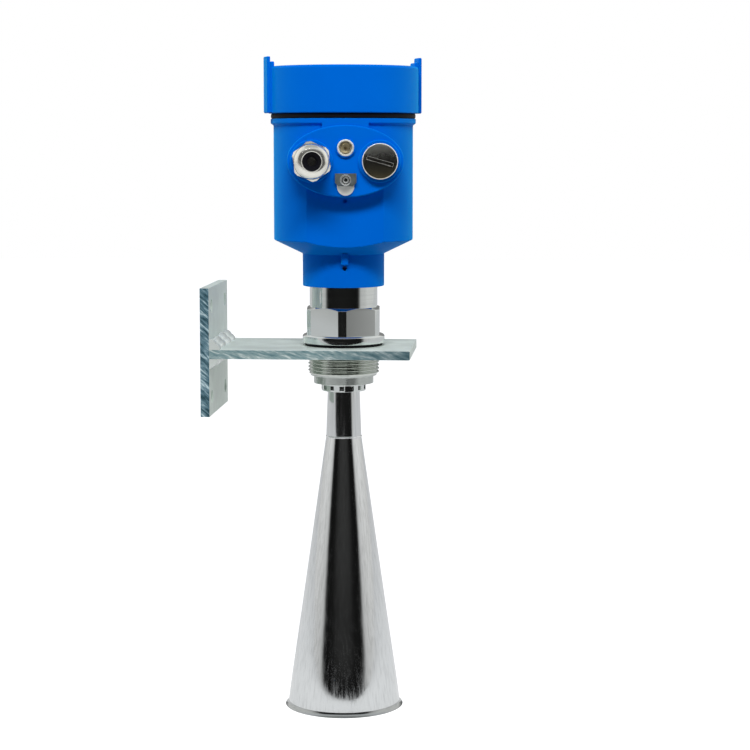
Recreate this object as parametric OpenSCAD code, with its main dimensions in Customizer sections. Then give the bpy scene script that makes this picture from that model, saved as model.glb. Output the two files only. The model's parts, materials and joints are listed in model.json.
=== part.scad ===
// Radar level transmitter with a horn antenna, screwed into a welded wall bracket.
// Millimetres, +Z up. The origin is the centre of the horn's mouth, its lowest plane.
// The bracket arm lies along X with its wall plate at -X, and the cable entries face -Y.

/* [Bracket] */
// Width of the arm and of the wall plate
bracket_w = 85; // [75:1:110]
// Height of the wall plate
wall_h = 85; // [78:1:120]
// Thickness of the steel flat
plate_t = 6; // [4:0.5:8]
// Distance from the wall to the antenna axis
wall_reach = 91; // [80:1:140]
// Distance from the antenna axis to the free end of the arm
arm_tip = 47; // [38:1:70]
// Diameter of the four wall bolt holes
wall_hole_d = 9; // [6:0.5:12]
// Spacing of the wall bolt holes across the plate
hole_gap_y = 62; // [50:1:64]
// Spacing of the wall bolt holes up the plate
hole_gap_z = 60; // [50:1:64]
// Leg length of the fillet welds
weld_leg = 6.4; // [4:0.2:8]
// Radius of the plates' cut corners
corner_r = 2; // [1:0.5:4]

/* [Horn antenna] */
// Outer radius of the rolled lip at the mouth
mouth_r = 40.1; // [36:0.5:50]
// How far the lip flares out past the cone
lip_flare = 2.2; // [1:0.1:3]
// Height of the flared lip
lip_h = 3.1; // [2:0.1:5]
// Length of the sheet cone
horn_h = 185.6; // [140:1:240]
// Outer radius of the cone at its throat
throat_r = 11.9; // [11.6:0.1:13]
// Thickness of the rolled sheet
sheet_t = 0.9; // [0.6:0.1:1.4]
// Length of the slim socket above the cone
socket_h = 30.7; // [20:1:50]
// Outer radius of the socket where it enters the fitting
socket_r = 10.8; // [10:0.1:11.4]
// Radius of the waveguide bore
guide_r = 8.6; // [7:0.1:9]
// Outer radius of the castellated lock ring
ring_r = 14.9; // [13.5:0.1:16]
// Height of the lock ring
ring_h = 5.1; // [4:0.1:7]
// Number of windows round the lock ring
ring_windows = 14; // [10:1:18]
// Width of one window
window_w = 3; // [2:0.1:4]
// Length of the feed cone's taper below the throat
feed_taper = 26; // [15:1:50]

/* [Process fitting] */
// Radius of the plain spigot under the thread
spigot_r = 20.1; // [17:0.1:21]
// Height of the plain spigot
spigot_h = 6.4; // [4:0.1:9]
// Radius of the process thread over its crests
thread_r = 23.9; // [22.6:0.1:25]
// Length of the process thread
thread_l = 21.1; // [18:0.1:30]
// Thickness of the gasket on the arm
gasket_t = 1.9; // [1:0.1:3]
// Radius of the gasket
gasket_r = 25.9; // [25.5:0.1:27]
// Radius of the flange
flange_r = 27.6; // [27.2:0.1:32]
// Height of the flange
flange_h = 5.6; // [4:0.1:8]
// Width across the flats of the hexagon
hex_af = 48.4; // [47:0.1:52]
// Radius that the hexagon's corners are turned down to
hex_corner_r = 26.5; // [26:0.1:27]
// Height of the hexagon
hex_h = 18.6; // [12:0.2:24]
// Radius of the polished neck tube
tube_r = 22.8; // [21:0.1:23.5]
// Length of tube in view between the hexagon and the housing
tube_gap = 13.9; // [8:0.1:30]

/* [Housing] */
// Turn of the housing about the antenna axis
head_turn = 6.6; // [-10:0.2:10]
// Outer radius of the neck
neck_r = 27.3; // [27:0.1:30]
// Height of the neck
neck_h = 21.7; // [20:0.1:30]
// Height of the cone under the body
cone_h = 9.2; // [7:0.1:14]
// Outer radius of the body
body_r = 46.4; // [46:0.1:50]
// Height of the body
body_h = 75.7; // [72:0.1:90]
// Thickness of the body's wall
body_wall = 4.4; // [3.6:0.1:5]
// How far the collar stands out past the body
collar_out = 1.9; // [1:0.1:3]
// Height of the collar
collar_h = 4.4; // [3:0.1:6]
// Height of the threaded spigot inside the lid
spout_h = 16; // [12:0.5:20]
// Half width of the flat down the front of the body
flat_half_w = 25; // [22:0.5:26]
// Thickness of the wall behind the flat
flat_wall = 3.6; // [2.6:0.1:4]
// Half width of the web that joins the oval boss to the collar
web_half_w = 15; // [10:0.5:18]

/* [Cable entries] */
// Half width of the oval boss
oval_a = 37.7; // [37:0.1:40]
// Half height of the oval boss
oval_b = 23.2; // [22:0.1:24]
// How far the oval boss's face stands out past the body
boss_out = 3.6; // [3.2:0.1:7]
// Rounding of the oval boss's front edge
oval_edge = 1.4; // [0.8:0.1:2]
// Distance of each entry from the middle of the boss
port_x = 22; // [21:0.1:22.5]
// Radius of the raised ring round each entry
port_ring_r = 13.7; // [13:0.1:14]
// Height of the raised ring round each entry
port_ring_h = 2.4; // [1:0.1:4]
// Radius of the entries' thread
entry_r = 10; // [9:0.1:10.4]
// Width across the flats of the gland's hexagons
gland_af = 22.8; // [22:0.1:23.4]
// Height of the gland body's hexagon
gland_hex_h = 4.6; // [3:0.1:7]
// Length of the gland nut
nut_l = 14.6; // [12:0.1:18]
// Radius of the gland nut's round front
nut_front_r = 11.3; // [10.8:0.1:11.4]
// Radius of the gland's rubber seal
seal_r = 6.4; // [6:0.1:6.6]
// Radius of the cable hole through the seal
cable_r = 2.9; // [2:0.1:4]
// Radius of the blind plug's head
plug_r = 11.6; // [11.2:0.1:12.4]
// Height of the blind plug's head
plug_head_h = 2.2; // [1.6:0.1:4]
// Length of the blind plug's screwdriver slot
slot_l = 17; // [12:0.5:20]
// Width of the slot
slot_w = 1.8; // [1.2:0.1:2.4]
// Turn of the slot from level
slot_turn = -16; // [-90:1:90]
// Thickness of the entries' sealing rings
entry_seal_t = 1.4; // [1:0.1:2.2]

/* [Small fittings] */
// Height of the vent above the entries' centre line
vent_up = 8.6; // [8:0.1:9.4]
// Radius of the vent's metal sleeve
vent_r = 5.5; // [4.8:0.1:5.6]
// Radius of the vent's screw
vent_screw_r = 3.25; // [2.6:0.05:3.6]
// Depth of the earth screw below the entries' centre line
earth_down = 11.9; // [11:0.1:12.4]
// Width of the earth clamp
earth_w = 13.8; // [12:0.1:14.4]
// Height of the earth clamp
earth_h = 8.3; // [8:0.1:9.4]
// Radius of the earth screw's head
earth_head_r = 3.3; // [3:0.1:3.6]
// Radius of the earth screw's shank
earth_shank_r = 2; // [1.6:0.1:2.2]
// Width of the small rib on the neck
rib_w = 4.4; // [3:0.1:6]
// Height of the small rib on the neck
rib_h = 7.5; // [5:0.1:9]
// Radius of the set screw under the rib
set_screw_r = 1.5; // [1.2:0.1:2]

/* [Lid] */
// Outer radius of the lid
lid_r = 50; // [49.5:0.1:54]
// Height of the lid
lid_h = 30.7; // [26:0.1:40]
// Thickness of the lid's top
lid_top_t = 3.2; // [2.4:0.1:5]
// Rounding of the lid's top edge
lid_edge_r = 2; // [1:0.1:4]
// Thickness of the seal between the collar and the lid
seal_t = 3.5; // [2.5:0.1:5]
// Turn of the lid about the antenna axis
lid_turn = 20; // [0:1:90]
// Tangential width of each lug
lug_w = 11; // [8:0.5:14]
// How far each lug stands out past the lid
lug_out = 3.1; // [2:0.1:5]
// How far each lug's wall stands above the lid
lug_up = 6.3; // [3:0.1:8]
// Thickness of each lug's wall
lug_wall = 2.3; // [1.6:0.1:3]

/* [Inside] */
// Distance of the electronics cup's wall from the chamber's wall
cup_in = 7.5; // [7:0.5:9.5]
// Height of the electronics cup above its flange
cup_h = 27; // [20:0.5:29]
// Number of terminals in a row
terminals = 4; // [2:1:5]
// Distance between neighbouring terminals
terminal_gap = 8; // [7:0.2:9]

/* [Hidden] */
$fn = 96;
// Clearance between nested pieces that do not turn, and between turning faces
fit_gap = 0.1;
turn_gap = 0.08;
face_gap = 0.05;
loose_gap = 0.4;

blue = [0.01, 0.36, 0.82];
steel = [0.78, 0.79, 0.80];
zinc = [0.72, 0.75, 0.76];
nickel = [0.85, 0.83, 0.78];
black = [0.05, 0.05, 0.06];
grey = [0.55, 0.57, 0.58];
white = [0.93, 0.93, 0.90];

// Heights of the stacked pieces, from the horn's mouth upwards
ring_z = horn_h + socket_h;
spigot_z = ring_z + ring_h;
thread_z = spigot_z + spigot_h;
flange_z = thread_z + thread_l;
arm_top_z = flange_z - gasket_t;
arm_bottom_z = arm_top_z - plate_t;
hex_z = flange_z + flange_h;
tube_z = hex_z + hex_h;
neck_z = tube_z + tube_gap;
cone_z = neck_z + neck_h;
body_z = cone_z + cone_h;
collar_z = body_z + body_h;
rim_z = collar_z + collar_h;
spout_z = rim_z + spout_h;
lid_z = rim_z + seal_t;
lid_top_z = lid_z + lid_h;
lug_back = 2.7;
lug_step = 3;

// Bracket
wall_x = -wall_reach;
weld_x = wall_x + plate_t;
arm_l = weld_x * -1 + arm_tip;
wall_mid_z = (arm_top_z + arm_bottom_z) / 2 + 1;
weld_rings = 44;
weld_sides = 5;
weld_ripple = 0.09;

// Horn and socket
cone_mouth_r = mouth_r - lip_flare;
seam_h = 1.2;
seam_out = 0.35;
socket_in = spigot_h + thread_l / 3;
ring_lip_t = 0.8;
ring_lip_out = 1;
window_h = ring_h * 0.55;
guide_wall_r = guide_r + fit_gap;
feed_top_z = spigot_z + socket_in - 1;
feed_tip_r = 1.6;

// Neck tube: shoulder that carries the housing, then a slimmer stub held by a snap ring
shoulder_z = neck_z + 5;
stub_r = tube_r - 2;
stub_inner_r = stub_r - 4;
snap_z = cone_z + 4.3;
snap_t = 1.5;
snap_groove = 1.4;
snap_out = 3.6;
stub_z = snap_z + snap_t + 2.4;
groove_half = 1.9;
groove_depth = 1.3;
set_screw_z = neck_z + neck_h * 0.6;
oring_r = 1;
oring_z = (shoulder_z + set_screw_z - groove_half) / 2;

// Housing
chamber_r = body_r - body_wall;
collar_r = body_r + collar_out;
collar_chamfer = collar_h * 0.3;
ledge_z = body_z + 8;
ledge_r = chamber_r - 6;
ledge_hole_depth = 6;
spout_r = collar_r - 3.4;
spout_inner_r = spout_r - 2.9;
flat_y = sqrt(pow(body_r, 2) - pow(flat_half_w, 2));
flat_inside_y = flat_y - flat_wall;
seat_z = snap_z - face_gap;
seat_r = stub_r + snap_out + 0.8;
rib_out = 3.4;
small_hole_r = 1.35;
small_hole_drop = 2.8;
small_hole_depth = 2.4;

// Cable entries: the boss face is oval_y in front of the axis
oval_y = body_r + boss_out;
boss_z = collar_z - oval_b;
oval_foot = body_r * 0.5;
oval_steps = 2;
entry_face = oval_y + port_ring_h;
gland_seat = entry_face + entry_seal_t;
gland_nut_start = gland_seat + gland_hex_h + 0.5;
gland_front = gland_nut_start + nut_l;
nut_wall = 2.4;
stem_r = entry_r - 1.3;
stem_l = nut_l * 0.55;
gland_bore_r = 6;
claw_r = stem_r - 0.5;
claw_start = gland_nut_start + stem_l + loose_gap;
claw_l = gland_front - nut_wall - face_gap - claw_start;
claw_slits = 8;
entry_thread_l = 11;
plug_front = gland_seat + plug_head_h;

// Vent and earth terminal
vent_z = boss_z + vent_up;
vent_ring_out = 1.6;
earth_z = boss_z - earth_down;
earth_plate_t = 1;
tongue_r = 5.5;
tongue_drop = 4.6;
clamp_t = 1.5;
washer_t = 0.8;
earth_bush_r = earth_shank_r + 1.6;
clamp_seat = oval_y + earth_plate_t + face_gap;
washer_seat = clamp_seat + clamp_t + face_gap;
head_seat = washer_seat + washer_t + face_gap;
earth_head_h = 3;
socket_depth = 1.6;

// Inside
cup_r = chamber_r - cup_in;
cup_flange_t = 3;
cup_wall = 2.4;
cup_top_z = ledge_z + cup_flange_t + cup_h;
cup_screw_r = 1.5;
cup_screw_at = chamber_r - 3;
block_l = terminals * terminal_gap + 6;
block_w = 20;
block_h = 10;
terminal_screw_r = 2;

function arc(centre, r, from, to, steps = 4) =
    [for (i = [0:steps]) centre + r * [cos(from + (to - from) * i / steps), sin(from + (to - from) * i / steps)]];

function oval(a, b, steps = 60) = [for (i = [0:steps - 1]) [a * cos(360 * i / steps), b * sin(360 * i / steps)]];

// Turned ring with chamfered outer edges
module turned_ring(outer, inner, h, chamfer = 0) {
    rotate_extrude()
        polygon([[inner, 0], [outer - chamfer, 0], [outer, chamfer], [outer, h - chamfer],
                 [outer - chamfer, h], [inner, h]]);
}

// Rubber ring of round section, slightly flattened where it seats
module sealing_ring(outer, inner, h) {
    rotate_extrude()
        polygon(concat([[inner, 0], [inner, h]], arc([outer - h / 2, h / 2], h / 2, 90, -90, 6)));
}

// Hexagon with its corners turned down to a round chamfer at one or both ends
module turned_hex(af, corner_r, h, top_chamfer, bottom_chamfer = 0) {
    intersection() {
        cylinder(h = h, r = af / 2 / cos(30), $fn = 6);
        rotate_extrude()
            polygon([[0, 0], [corner_r - bottom_chamfer * 1.7, 0], [corner_r, bottom_chamfer],
                     [corner_r, h - top_chamfer], [corner_r - top_chamfer * 1.7, h], [0, h]]);
    }
}

// Turns what belongs to the housing
module head() {
    rotate([0, 0, head_turn]) children();
}

// Frame with its Z pointing out of the housing's front, at a place on the boss
module front(x, z, out = 0) {
    head() translate([x, 0, z]) rotate([90, 0, 0]) translate([0, 0, out]) children();
}

module wall_plate() {
    color(zinc) difference() {
        translate([wall_x, 0, wall_mid_z]) rotate([90, 0, 90]) linear_extrude(plate_t)
            polygon(concat(arc([bracket_w / 2 - corner_r, wall_h / 2 - corner_r], corner_r, 0, 90),
                           arc([corner_r - bracket_w / 2, wall_h / 2 - corner_r], corner_r, 90, 180),
                           arc([corner_r - bracket_w / 2, corner_r - wall_h / 2], corner_r, 180, 270),
                           arc([bracket_w / 2 - corner_r, corner_r - wall_h / 2], corner_r, 270, 360)));
        for (y = [-1, 1], z = [-1, 1])
            translate([wall_x - 1, y * hole_gap_y / 2, wall_mid_z + z * hole_gap_z / 2])
                rotate([0, 90, 0]) cylinder(h = plate_t + 2, d = wall_hole_d);
    }
}

module bracket_arm() {
    color(zinc) difference() {
        translate([weld_x, -bracket_w / 2, arm_bottom_z]) cube([arm_l, bracket_w, plate_t]);
        translate([0, 0, arm_bottom_z - 1]) cylinder(h = plate_t + 2, r = thread_r + fit_gap);
    }
}

// One fillet weld laid along the corner, its leg swelling and shrinking with each ripple
module weld_bead() {
    pitch = bracket_w / (weld_rings - 1);
    function leg(i) = weld_leg * (1 - weld_ripple + weld_ripple * sin(i * 137) + weld_ripple * sin(i * 50) / 2);
    function ring(i) = concat([[0, i * pitch - bracket_w / 2, 0]],
        [for (k = [0:weld_sides]) let (a = 90 * k / weld_sides, bulge = 0.72 + 0.28 * abs(cos(2 * a)))
            [leg(i) * cos(a) * bulge, i * pitch - bracket_w / 2, leg(i) * sin(a) * bulge]]);
    n = weld_sides + 2;
    points = [for (i = [0:weld_rings - 1]) each ring(i)];
    sides = [for (i = [0:weld_rings - 2], k = [0:n - 1])
        [i * n + k, i * n + (k + 1) % n, (i + 1) * n + (k + 1) % n, (i + 1) * n + k]];
    ends = [[for (k = [n - 1:-1:0]) k], [for (k = [0:n - 1]) (weld_rings - 1) * n + k]];
    polyhedron(points, concat(sides, ends), convexity = 4);
}

module weld_top() {
    color(zinc) translate([weld_x, 0, arm_top_z]) weld_bead();
}

module weld_bottom() {
    color(zinc) translate([weld_x, 0, arm_bottom_z]) mirror([0, 0, 1]) weld_bead();
}

// Spigot, process thread, flange, hexagon and neck tube, turned from one bar
module process_fitting() {
    edge_ring_h = 1.2;
    color(steel) difference() {
        union() {
            rotate_extrude()
                polygon([[0, spigot_z], [spigot_r - 0.5, spigot_z], [spigot_r, spigot_z + 0.5],
                         [spigot_r, thread_z - edge_ring_h], [thread_r - 1.5, thread_z - edge_ring_h],
                         [thread_r, thread_z + 0.3], [thread_r, flange_z], [flange_r, flange_z],
                         [flange_r, hex_z - 1], [flange_r - 1, hex_z], [tube_r, hex_z],
                         [tube_r, shoulder_z], [stub_r, shoulder_z],
                         [stub_r, stub_z - 1], [stub_r - 1, stub_z], [0, stub_z]]);
            translate([0, 0, hex_z]) rotate([0, 0, -87])
                turned_hex(hex_af, hex_corner_r, hex_h, 1.6);
        }
        translate([0, 0, spigot_z - 1]) cylinder(h = socket_in + 1, r = socket_r + fit_gap);
        translate([0, 0, spigot_z]) cylinder(h = stub_z, r = guide_r - 2);
        translate([0, 0, tube_z]) cylinder(h = stub_z, r = stub_inner_r);
        translate([0, 0, snap_z]) turned_ring(stub_r + 1, stub_r - snap_groove, snap_t);
        translate([0, 0, set_screw_z - groove_half])
            turned_ring(stub_r + 1, stub_r - groove_depth, 2 * groove_half);
        translate([0, 0, oring_z - oring_r - face_gap])
            turned_ring(stub_r + 1, stub_r - 2 * oring_r, 2 * (oring_r + face_gap));
    }
}

module process_gasket() {
    color(black) translate([0, 0, arm_top_z]) turned_ring(gasket_r, thread_r + fit_gap, gasket_t, 0.3);
}

module swivel_oring() {
    color(black) translate([0, 0, oring_z]) rotate_extrude()
        translate([stub_r - oring_r, 0]) circle(r = oring_r - turn_gap / 2, $fn = 24);
}

// Snap ring that holds the housing down on the neck tube
module snap_ring() {
    color(steel) translate([0, 0, snap_z + face_gap / 2]) difference() {
        turned_ring(stub_r + snap_out - 1, stub_r - snap_groove + face_gap, snap_t - face_gap, 0.2);
        translate([0, -stub_r - 10, -1]) translate([-4, 0, 0]) cube([8, 20, snap_t + 2]);
    }
}

// Ring nut that clamps the horn's socket, with windows for a hook spanner
module lock_ring() {
    color(steel) translate([0, 0, ring_z]) difference() {
        union() {
            turned_ring(ring_r, socket_r + fit_gap, ring_h, 0.4);
            translate([0, 0, ring_h - ring_lip_t])
                turned_ring(ring_r + ring_lip_out, socket_r + fit_gap, ring_lip_t);
        }
        for (i = [0:ring_windows - 1])
            rotate([0, 0, 360 * i / ring_windows - 90]) translate([ring_r - 2, -window_w / 2, 1.1])
                cube([4, window_w, window_h]);
    }
}

module horn_socket() {
    color(steel) rotate_extrude()
        polygon([[guide_wall_r, horn_h], [throat_r, horn_h], [socket_r, ring_z],
                 [socket_r, spigot_z + socket_in], [guide_wall_r, spigot_z + socket_in]]);
}

// Cone rolled from sheet, seam welded, with its mouth flared over
module horn() {
    color(steel) rotate_extrude()
        polygon(concat([[mouth_r - sheet_t, 0], [mouth_r, 0]],
                       [for (t = [0.25:0.25:1]) [mouth_r - lip_flare * (1 - pow(1 - t, 2)), lip_h * t]],
                       [[throat_r + seam_out * 0.4, horn_h - seam_h], [throat_r + seam_out, horn_h - seam_h / 2],
                        [throat_r, horn_h], [throat_r - sheet_t, horn_h]],
                       [[cone_mouth_r - sheet_t, lip_h]],
                       [for (t = [0.75:-0.25:0.25])
                           [mouth_r - sheet_t - lip_flare * (1 - pow(1 - t, 2)), lip_h * t]]));
}

// Plastic feed that fills the waveguide and tapers to a point inside the horn
module feed_cone() {
    color(white) rotate_extrude()
        polygon([[0, horn_h - feed_taper], [feed_tip_r, horn_h - feed_taper], [guide_r, horn_h],
                 [guide_r, feed_top_z], [0, feed_top_z]]);
}

// Oval boss drawn as stacked plates in the front frame, each a little smaller towards its face
module oval_boss() {
    for (step = [0:oval_steps])
        front(0, boss_z, oval_foot)
            linear_extrude(oval_y - oval_foot - oval_edge * (1 - step / oval_steps))
                polygon(oval(oval_a - oval_edge * pow(step / oval_steps, 2), oval_b - oval_edge * pow(step / oval_steps, 2)));
}

// Keeps what lies behind a plane across the front
module behind(y, from_z, to_z) {
    difference() {
        children();
        head() translate([-2 * body_r, -y - 2 * body_r, from_z]) cube([4 * body_r, 2 * body_r, to_z - from_z]);
    }
}

module housing_outside() {
    behind(flat_y, cone_z, boss_z) rotate_extrude()
        polygon([[0, neck_z], [neck_r - 0.8, neck_z], [neck_r, neck_z + 0.8], [neck_r, cone_z],
                 [body_r - 0.3, body_z - 0.3], [body_r, body_z + 0.5], [body_r, collar_z],
                 [collar_r, collar_z + collar_chamfer], [collar_r, rim_z - 0.6], [collar_r - 0.6, rim_z],
                 [spout_r, rim_z], [spout_r, spout_z - 1], [spout_r - 1, spout_z], [0, spout_z]]);
    // Web between the oval boss and the collar
    intersection() {
        translate([0, 0, boss_z]) cylinder(h = rim_z - 0.6 - boss_z, r = collar_r);
        head() translate([-web_half_w, -2 * body_r, boss_z]) cube([2 * web_half_w, 2 * body_r, body_h]);
    }
    oval_boss();
    for (side = [-1, 1])
        front(side * port_x, boss_z, oval_foot) cylinder(h = entry_face - oval_foot, r = port_ring_r);
    front(0, vent_z, oval_foot) cylinder(h = oval_y + vent_ring_out - oval_foot, r = vent_r + 0.8);
    // Small locating rib on the neck, above the set screw
    intersection() {
        translate([0, 0, set_screw_z + set_screw_r + 1]) cylinder(h = rib_h, r = neck_r + rib_out);
        head() translate([-rib_w / 2, -2 * body_r, neck_z]) cube([rib_w, 2 * body_r, body_h]);
    }
}

module housing_inside() {
    behind(flat_inside_y, ledge_z - 1, boss_z) rotate_extrude()
        polygon([[0, neck_z - 1], [tube_r + turn_gap, neck_z - 1], [tube_r + turn_gap, shoulder_z + face_gap],
                 [stub_r + turn_gap, shoulder_z + face_gap], [stub_r + turn_gap, seat_z], [seat_r, seat_z],
                 [seat_r, seat_z + 2.6], [ledge_r, body_z + 3], [ledge_r, ledge_z], [chamber_r, ledge_z],
                 [chamber_r, rim_z - 4], [spout_inner_r, rim_z], [spout_inner_r, spout_z + 1], [0, spout_z + 1]]);
    for (side = [-1, 1])
        front(side * port_x, boss_z, oval_foot) cylinder(h = oval_y, r = entry_r + fit_gap);
    front(0, vent_z, oval_y - 8) cylinder(h = 20, r = vent_r + face_gap);
    front(0, earth_z, oval_y - 7) cylinder(h = 20, r = earth_bush_r + face_gap);
    front(0, set_screw_z, 0) cylinder(h = neck_r + rib_out + 1, r = set_screw_r + face_gap);
    // Small blind hole under the oval boss
    front(0, boss_z - oval_b - small_hole_drop, flat_y - small_hole_depth) cylinder(h = 20, r = small_hole_r);
    // Holes in the ledge for the electronics cup's screws
    head() for (side = [-1, 1])
        translate([side * cup_screw_at, 0, ledge_z - ledge_hole_depth])
            cylinder(h = ledge_hole_depth + 1, r = cup_screw_r + face_gap);
}

// Moulded housing with its boss, collar and lid thread in one piece
module housing() {
    color(blue) difference() {
        housing_outside();
        housing_inside();
    }
}

module neck_set_screw() {
    color(steel) front(0, set_screw_z, stub_r - groove_depth + loose_gap) difference() {
        cylinder(h = neck_r - stub_r - groove_depth, r = set_screw_r);
        translate([0, 0, neck_r - stub_r - groove_depth - 1.2]) cylinder(h = 2, r = set_screw_r / 2, $fn = 6);
    }
}

// Moulded cup that carries the electronics and hangs on the housing's ledge
module electronics_cup() {
    color(black) difference() {
        behind(flat_inside_y - loose_gap, ledge_z - 1, cup_top_z + 1) rotate_extrude()
            polygon([[0, ledge_z], [chamber_r - loose_gap, ledge_z], [chamber_r - loose_gap, ledge_z + cup_flange_t],
                     [cup_r, ledge_z + cup_flange_t], [cup_r, cup_top_z - 1.5], [cup_r - 1.5, cup_top_z],
                     [0, cup_top_z]]);
        translate([0, 0, ledge_z - 1]) cylinder(h = cup_top_z - cup_wall - ledge_z + 1, r = cup_r - cup_wall);
        head() for (side = [-1, 1])
            translate([side * cup_screw_at, 0, ledge_z - 1]) cylinder(h = cup_flange_t + 2, r = cup_screw_r + fit_gap);
    }
}

module cup_screws() {
    color(steel) head() for (side = [-1, 1])
        translate([side * cup_screw_at, 0, ledge_z]) {
            translate([0, 0, 1 - ledge_hole_depth]) cylinder(h = cup_flange_t + ledge_hole_depth - 1, r = cup_screw_r);
            translate([0, 0, cup_flange_t]) turned_ring(2.5, 0, 1.8, 0.3);
        }
}

// Terminal block with one screw well and one wire mouth for each conductor
module terminal_block() {
    color(grey) head() translate([0, 6, cup_top_z]) difference() {
        translate([-block_l / 2, -block_w / 2, 0]) cube([block_l, block_w, block_h]);
        for (i = [0:terminals - 1]) {
            x = (i - (terminals - 1) / 2) * terminal_gap;
            translate([x, 1, 2]) cylinder(h = block_h, r = terminal_screw_r + 0.4);
            translate([x - 2, -block_w / 2 - 1, 1.5]) cube([4, 6, 5]);
        }
        for (i = [0:terminals])
            translate([(i - terminals / 2) * terminal_gap - 0.4, -block_w / 2 - 1, block_h - 3])
                cube([0.8, 8, 4]);
    }
}

module terminal_screws() {
    color(nickel) head() translate([0, 7, cup_top_z + 2]) for (i = [0:terminals - 1])
        translate([(i - (terminals - 1) / 2) * terminal_gap, 0, 0]) difference() {
            cylinder(h = block_h - 4, r = terminal_screw_r);
            translate([-terminal_screw_r, -0.3, block_h - 5]) cube([2 * terminal_screw_r, 0.6, 2]);
        }
}

module inner_earth_terminal() {
    color(steel) head() translate([0, -16, cup_top_z]) difference() {
        union() {
            translate([-4, -4, 0]) cube([8, 8, 3]);
            translate([0, 0, 3]) cylinder(h = 3.2, r = 3);
        }
        translate([-3.5, -0.4, 5.2]) cube([7, 0.8, 2]);
    }
}

module vent_sleeve() {
    color(nickel) front(0, vent_z, oval_y - 7.5)
        turned_ring(vent_r, vent_screw_r + face_gap, 7.5 + vent_ring_out + 0.8, 0.5);
}

module vent_screw() {
    color(nickel) front(0, vent_z, oval_y - 6) difference() {
        turned_ring(vent_screw_r, 0, 6 + vent_ring_out + 1, 0.3);
        translate([0, 0, 6.6]) cylinder(h = 4, r = vent_screw_r * 0.48, $fn = 6);
    }
}

module earth_bush() {
    color(nickel) front(0, earth_z, oval_y - 6.8) turned_ring(earth_bush_r, earth_shank_r + fit_gap, 6.8);
}

// Contact plate under the clamp, ending in a round tongue
module earth_plate() {
    color(steel) front(0, earth_z, oval_y) difference() {
        union() {
            translate([-tongue_r, -tongue_drop, 0]) cube([2 * tongue_r, tongue_drop + 3.6, earth_plate_t]);
            translate([0, -tongue_drop, 0]) cylinder(h = earth_plate_t, r = tongue_r);
        }
        translate([0, 0, -1]) cylinder(h = 4, r = earth_shank_r + fit_gap);
    }
}

// Square clamp with its lower corners cut and its side edges turned out
module earth_clamp() {
    cut = 1.6;
    top = earth_h / 2;
    side = earth_w / 2;
    color(steel) front(0, earth_z, clamp_seat) difference() {
        union() {
            linear_extrude(clamp_t)
                polygon([[-side, top], [-side, cut - top], [cut - side, -top], [side - cut, -top],
                         [side, cut - top], [side, top]]);
            for (s = [-1, 1])
                translate([s * (side - 0.5) - 0.5, cut - top + 0.4, 0]) cube([1, earth_h - cut - 0.4, clamp_t + 0.9]);
        }
        translate([0, 0, -1]) cylinder(h = clamp_t + 3, r = earth_shank_r + fit_gap);
    }
}

module earth_washer() {
    color(steel) front(0, earth_z, washer_seat) turned_ring(3.7, earth_shank_r + fit_gap, washer_t, 0.15);
}

module earth_screw() {
    color(steel) front(0, earth_z, head_seat) difference() {
        union() {
            turned_ring(earth_head_r, 0, earth_head_h, 0.4);
            translate([0, 0, oval_y - 6 - head_seat]) cylinder(h = head_seat - oval_y + 6, r = earth_shank_r);
        }
        translate([0, 0, earth_head_h - socket_depth]) cylinder(h = 3, r = earth_head_r * 0.55, $fn = 6);
    }
}

module gland_body() {
    color(nickel) front(-port_x, boss_z, 0) difference() {
        union() {
            translate([0, 0, entry_face - entry_thread_l]) cylinder(h = entry_thread_l + entry_seal_t, r = entry_r);
            translate([0, 0, gland_seat]) rotate([0, 0, 12])
                turned_hex(gland_af, gland_af / 2 / cos(30) - 0.4, gland_hex_h, 0.4, 0.4);
            translate([0, 0, gland_seat + gland_hex_h]) cylinder(h = stem_l + 0.5, r = stem_r);
        }
        translate([0, 0, entry_face - entry_thread_l - 1]) cylinder(h = 60, r = gland_bore_r);
    }
}

module gland_oring() {
    color(black) front(-port_x, boss_z, entry_face) sealing_ring(entry_r + 1.6, entry_r + fit_gap, entry_seal_t);
}

// Slotted plastic cage that the nut squeezes on to the seal
module gland_claw() {
    color(black) front(-port_x, boss_z, claw_start) difference() {
        turned_ring(claw_r, seal_r + face_gap, claw_l);
        for (i = [0:claw_slits - 1])
            rotate([0, 0, 360 * i / claw_slits]) translate([seal_r - 1, -0.35, 1.2]) cube([4, 0.7, claw_l]);
    }
}

module gland_seal() {
    color(black) front(-port_x, boss_z, claw_start) turned_ring(seal_r, cable_r, gland_front - 0.6 - claw_start, 0.2);
}

// Dome nut: hexagon behind, turned round in front
module gland_nut() {
    hex_part = nut_l * 0.55;
    color(nickel) front(-port_x, boss_z, gland_nut_start) difference() {
        union() {
            rotate([0, 0, 4]) turned_hex(gland_af, gland_af / 2 / cos(30) - 0.3, hex_part, 0.9, 0.4);
            rotate_extrude()
                polygon(concat([[0, 0], [nut_front_r, 0]],
                               arc([nut_front_r - 3, nut_l - 3], 3, 0, 70),
                               [[seal_r + 1.2, nut_l], [0, nut_l]]));
        }
        translate([0, 0, -1]) cylinder(h = nut_l - nut_wall + 1, r = stem_r + turn_gap * 2);
        translate([0, 0, -1]) cylinder(h = nut_l + 2, r = seal_r + loose_gap);
    }
}

module plug_oring() {
    color(black) front(port_x, boss_z, entry_face + face_gap)
        sealing_ring(entry_r + 1.2, entry_r + turn_gap, entry_seal_t - 2 * face_gap);
}

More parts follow.
